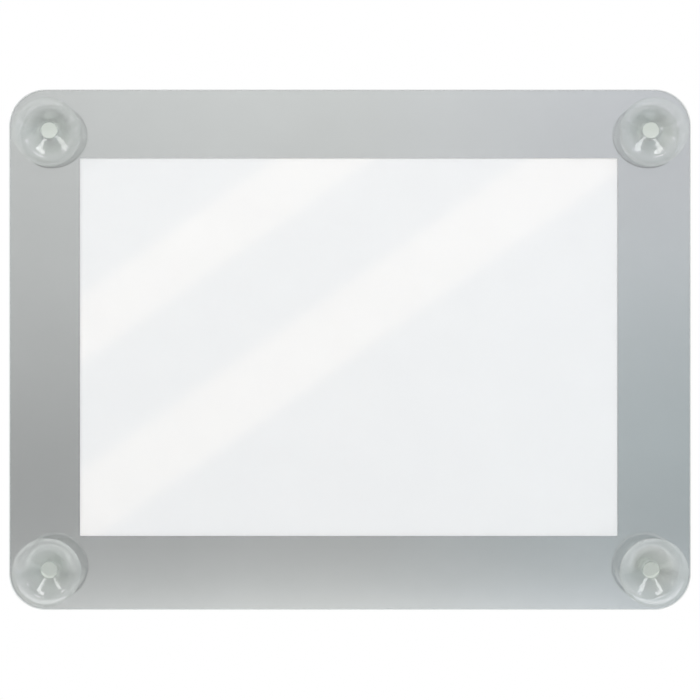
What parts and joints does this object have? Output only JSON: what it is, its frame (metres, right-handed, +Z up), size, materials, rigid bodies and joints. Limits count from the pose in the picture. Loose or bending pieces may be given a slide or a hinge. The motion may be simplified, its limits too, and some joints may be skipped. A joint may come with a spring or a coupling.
{
  "type": "window poster frame",
  "caption": "Landscape poster frame for shop windows: clear panel with a silver border and open window, rear pocket for a large sheet, and suction cups at the corners.",
  "frame": {"origin": "on the window glass, at the middle of the four cups, in the plane where their lips touch the glass", "axes": "+X to the viewer's right, +Z up, +Y from the glass into the room"},
  "size_m": [0.524, 0.0217, 0.4],
  "materials": {
    "clear_sheet": "clear, glossy rigid sheet",
    "silver_ink": "silver-grey screen print with a satin metallic sheen",
    "foam_tape": "white double-sided foam tape",
    "paper": "blank, smooth matte poster paper",
    "soft_vinyl": "clear soft PVC with a faint green tint, glossy"
  },
  "bodies": {
    "frame": {"front_panel": "clear_sheet", "silver_border": "silver_ink", "pocket_back": "clear_sheet", "tape_left": "foam_tape", "tape_right": "foam_tape", "tape_bottom": "foam_tape"},
    "poster": {"poster_sheet": "paper"},
    "cup_top_left": {"cup_top_left": "soft_vinyl"},
    "cup_top_right": {"cup_top_right": "soft_vinyl"},
    "cup_bottom_left": {"cup_bottom_left": "soft_vinyl"},
    "cup_bottom_right": {"cup_bottom_right": "soft_vinyl"}
  },
  "joints": [
    {"name": "poster_slide", "type": "slide", "parent": "frame", "child": "poster", "axis": [0, 0, 1], "range_m": [0, 0.28]},
    {"name": "cup_top_left_turn", "type": "hinge", "parent": "frame", "child": "cup_top_left", "pos_m": [-0.231, 0.015, 0.169], "axis": [0, 1, 0], "continuous": true},
    {"name": "cup_top_right_turn", "type": "hinge", "parent": "frame", "child": "cup_top_right", "pos_m": [0.231, 0.015, 0.169], "axis": [0, 1, 0], "continuous": true},
    {"name": "cup_bottom_left_turn", "type": "hinge", "parent": "frame", "child": "cup_bottom_left", "pos_m": [-0.231, 0.015, -0.169], "axis": [0, 1, 0], "continuous": true},
    {"name": "cup_bottom_right_turn", "type": "hinge", "parent": "frame", "child": "cup_bottom_right", "pos_m": [0.231, 0.015, -0.169], "axis": [0, 1, 0], "continuous": true}
  ]
}
